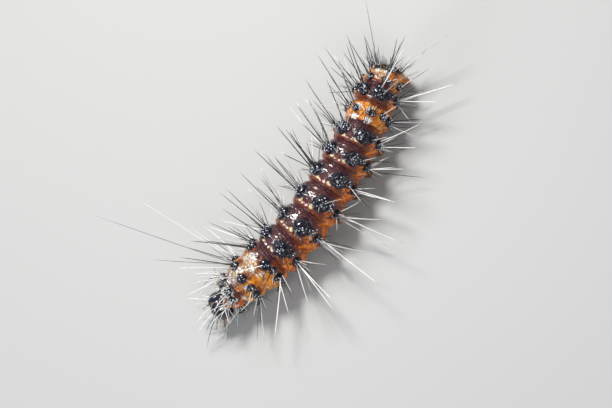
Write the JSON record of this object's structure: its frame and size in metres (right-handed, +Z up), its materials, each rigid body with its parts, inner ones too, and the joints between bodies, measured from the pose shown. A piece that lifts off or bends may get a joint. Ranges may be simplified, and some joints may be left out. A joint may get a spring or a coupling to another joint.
{
  "type": "rusty tussock moth larva",
  "caption": "Life-size bristly moth larva, orange with dark saddles and black warts, standing in a gentle curve; a still display model.",
  "frame": {"origin": "on the surface that the larva stands on, below the middle of its outline", "axes": "+X along the body towards the head, +Y to the larva's left, +Z up"},
  "size_m": [0.038, 0.0246, 0.0151],
  "materials": {
    "orange_skin": "wet, glossy, translucent orange cuticle with fine folds",
    "plum_skin": "glossy dark plum-brown saddle over orange sides",
    "amber_skin": "glossy amber cuticle with cream and brown marks",
    "black_shell": "hard, polished black cuticle of head, eyes, jaws, legs and warts",
    "bristle": "glossy black and silver-white bristles"
  },
  "bodies": {
    "root": {"prothorax": "amber_skin", "mesothorax": "orange_skin", "metathorax": "orange_skin", "abdomen_1": "plum_skin", "abdomen_2": "plum_skin", "abdomen_3": "plum_skin", "abdomen_4": "plum_skin", "abdomen_5": "plum_skin", "abdomen_6": "plum_skin", "abdomen_7": "orange_skin", "abdomen_8": "plum_skin", "abdomen_9": "orange_skin", "abdomen_10": "amber_skin", "head": "black_shell", "eyes_left": "black_shell", "eyes_right": "black_shell", "mandible_left": "black_shell", "mandible_right": "black_shell", "labrum": "amber_skin", "antenna_left": "amber_skin", "antenna_right": "amber_skin", "leg_1_left": "black_shell", "leg_1_right": "black_shell", "leg_2_left": "black_shell", "leg_2_right": "black_shell", "leg_3_left": "black_shell", "leg_3_right": "black_shell", "proleg_3_left": "orange_skin", "proleg_3_right": "orange_skin", "proleg_4_left": "orange_skin", "proleg_4_right": "orange_skin", "proleg_5_left": "orange_skin", "proleg_5_right": "orange_skin", "proleg_6_left": "orange_skin", "proleg_6_right": "orange_skin", "anal_proleg_left": "orange_skin", "anal_proleg_right": "orange_skin"}
  },
  "joints": []
}
